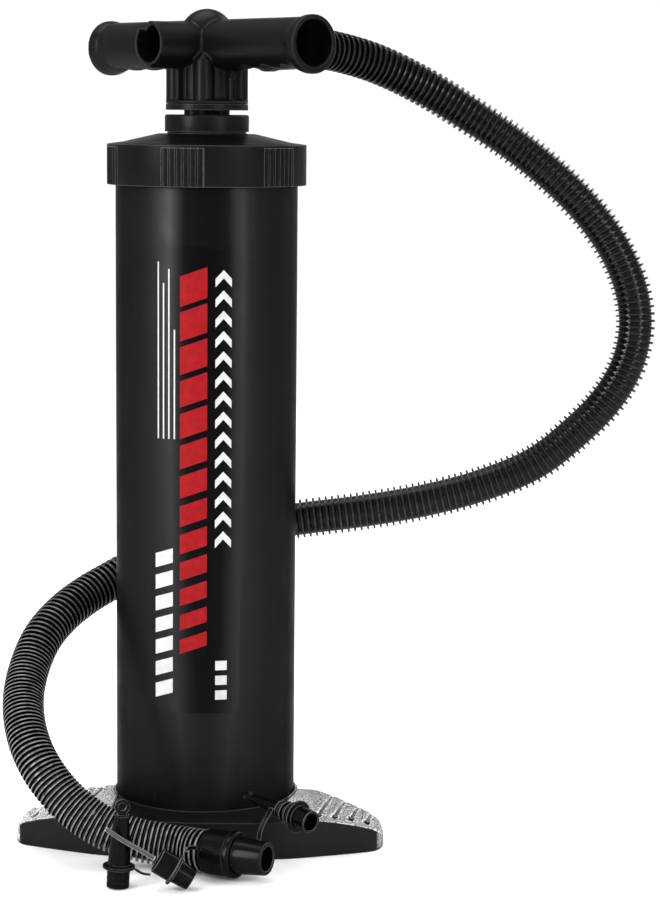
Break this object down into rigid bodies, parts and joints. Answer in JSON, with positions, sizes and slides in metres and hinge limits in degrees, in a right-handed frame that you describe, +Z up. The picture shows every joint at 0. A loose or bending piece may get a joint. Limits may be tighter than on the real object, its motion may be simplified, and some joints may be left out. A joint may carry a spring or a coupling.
{
  "type": "double action hand pump",
  "caption": "Upright hand air pump with a T handle, a ribbed hose from the handle to the floor and clip-on valve adapters.",
  "frame": {"origin": "centre of the base plane, on the barrel's axis", "axes": "+Z up along the barrel, +X along the foot's long side, -Y towards the foot's bowed front and the label"},
  "size_m": [0.382, 0.251, 0.48],
  "materials": {
    "satin_black": "satin moulded black plastic",
    "foot_black": "satin moulded plastic, grained treads",
    "matt_black": "matt moulded plastic",
    "hose_black": "soft gloss corrugated plastic",
    "gloss_black": "glossy moulded plastic",
    "rubber_black": "matt rubber",
    "natural_plastic": "natural acetal",
    "steel": "zinc plated steel",
    "label": "printed film, red and white marks on black"
  },
  "bodies": {
    "root": {"foot_base": "foot_black", "barrel": "satin_black", "barrel_end_plug": "matt_black", "end_plug_seal": "rubber_black", "foot_screw_1": "steel", "foot_screw_2": "steel", "foot_screw_3": "steel", "foot_screw_4": "steel", "label_skin": "label", "top_cap": "satin_black", "cap_gasket": "rubber_black", "hose_lower": "hose_black", "hose_end_cuff": "gloss_black", "hose_nozzle": "gloss_black", "adapter_tall": "gloss_black", "adapter_short": "gloss_black", "adapter_ribbed": "gloss_black", "strap_cuff_to_short": "gloss_black", "strap_short_to_tall": "gloss_black", "strap_tall_foot": "gloss_black", "strap_cuff_to_ribbed": "gloss_black"},
    "guide": {"guide_sleeve": "natural_plastic", "guide_collar": "satin_black", "rod_seal": "rubber_black", "guide_retainer": "steel", "stop_bumper": "rubber_black"},
    "rod": {"piston_rod": "satin_black", "piston_lower_plate": "matt_black", "piston_upper_plate": "matt_black", "piston_seal": "rubber_black", "piston_screw_1": "steel", "piston_screw_2": "steel", "piston_screw_3": "steel", "piston_screw_4": "steel", "flap_valve_lower": "rubber_black", "flap_valve_upper": "rubber_black", "handle_body": "satin_black", "socket_flange": "satin_black", "rod_top_gasket": "rubber_black", "socket_screw_1": "steel", "socket_screw_2": "steel", "socket_screw_3": "steel", "socket_screw_4": "steel", "hose_cuff_upper": "satin_black", "cuff_oring": "rubber_black", "hose_upper": "hose_black"},
    "outlet_disc": {"valve_disc_outlet": "rubber_black"},
    "transfer_disc": {"valve_disc_transfer": "rubber_black"}
  },
  "joints": [
    {"name": "handle_swivel", "type": "hinge", "parent": "root", "child": "guide", "pos_m": [0, 0, 0.415], "axis": [0, 0, 1], "range_deg": [-46, 46], "deforming": ["hose_lower"]},
    {"name": "pump_stroke", "type": "slide", "parent": "guide", "child": "rod", "axis": [0, 0, 1], "range_m": [0, 0.25], "deforming": ["hose_upper"]},
    {"name": "outlet_valve_lift", "type": "slide", "parent": "rod", "child": "outlet_disc", "axis": [0, 0, 1], "range_m": [0, 0.002]},
    {"name": "transfer_valve_lift", "type": "slide", "parent": "rod", "child": "transfer_disc", "axis": [0, 0, 1], "range_m": [0, 0.002]}
  ]
}
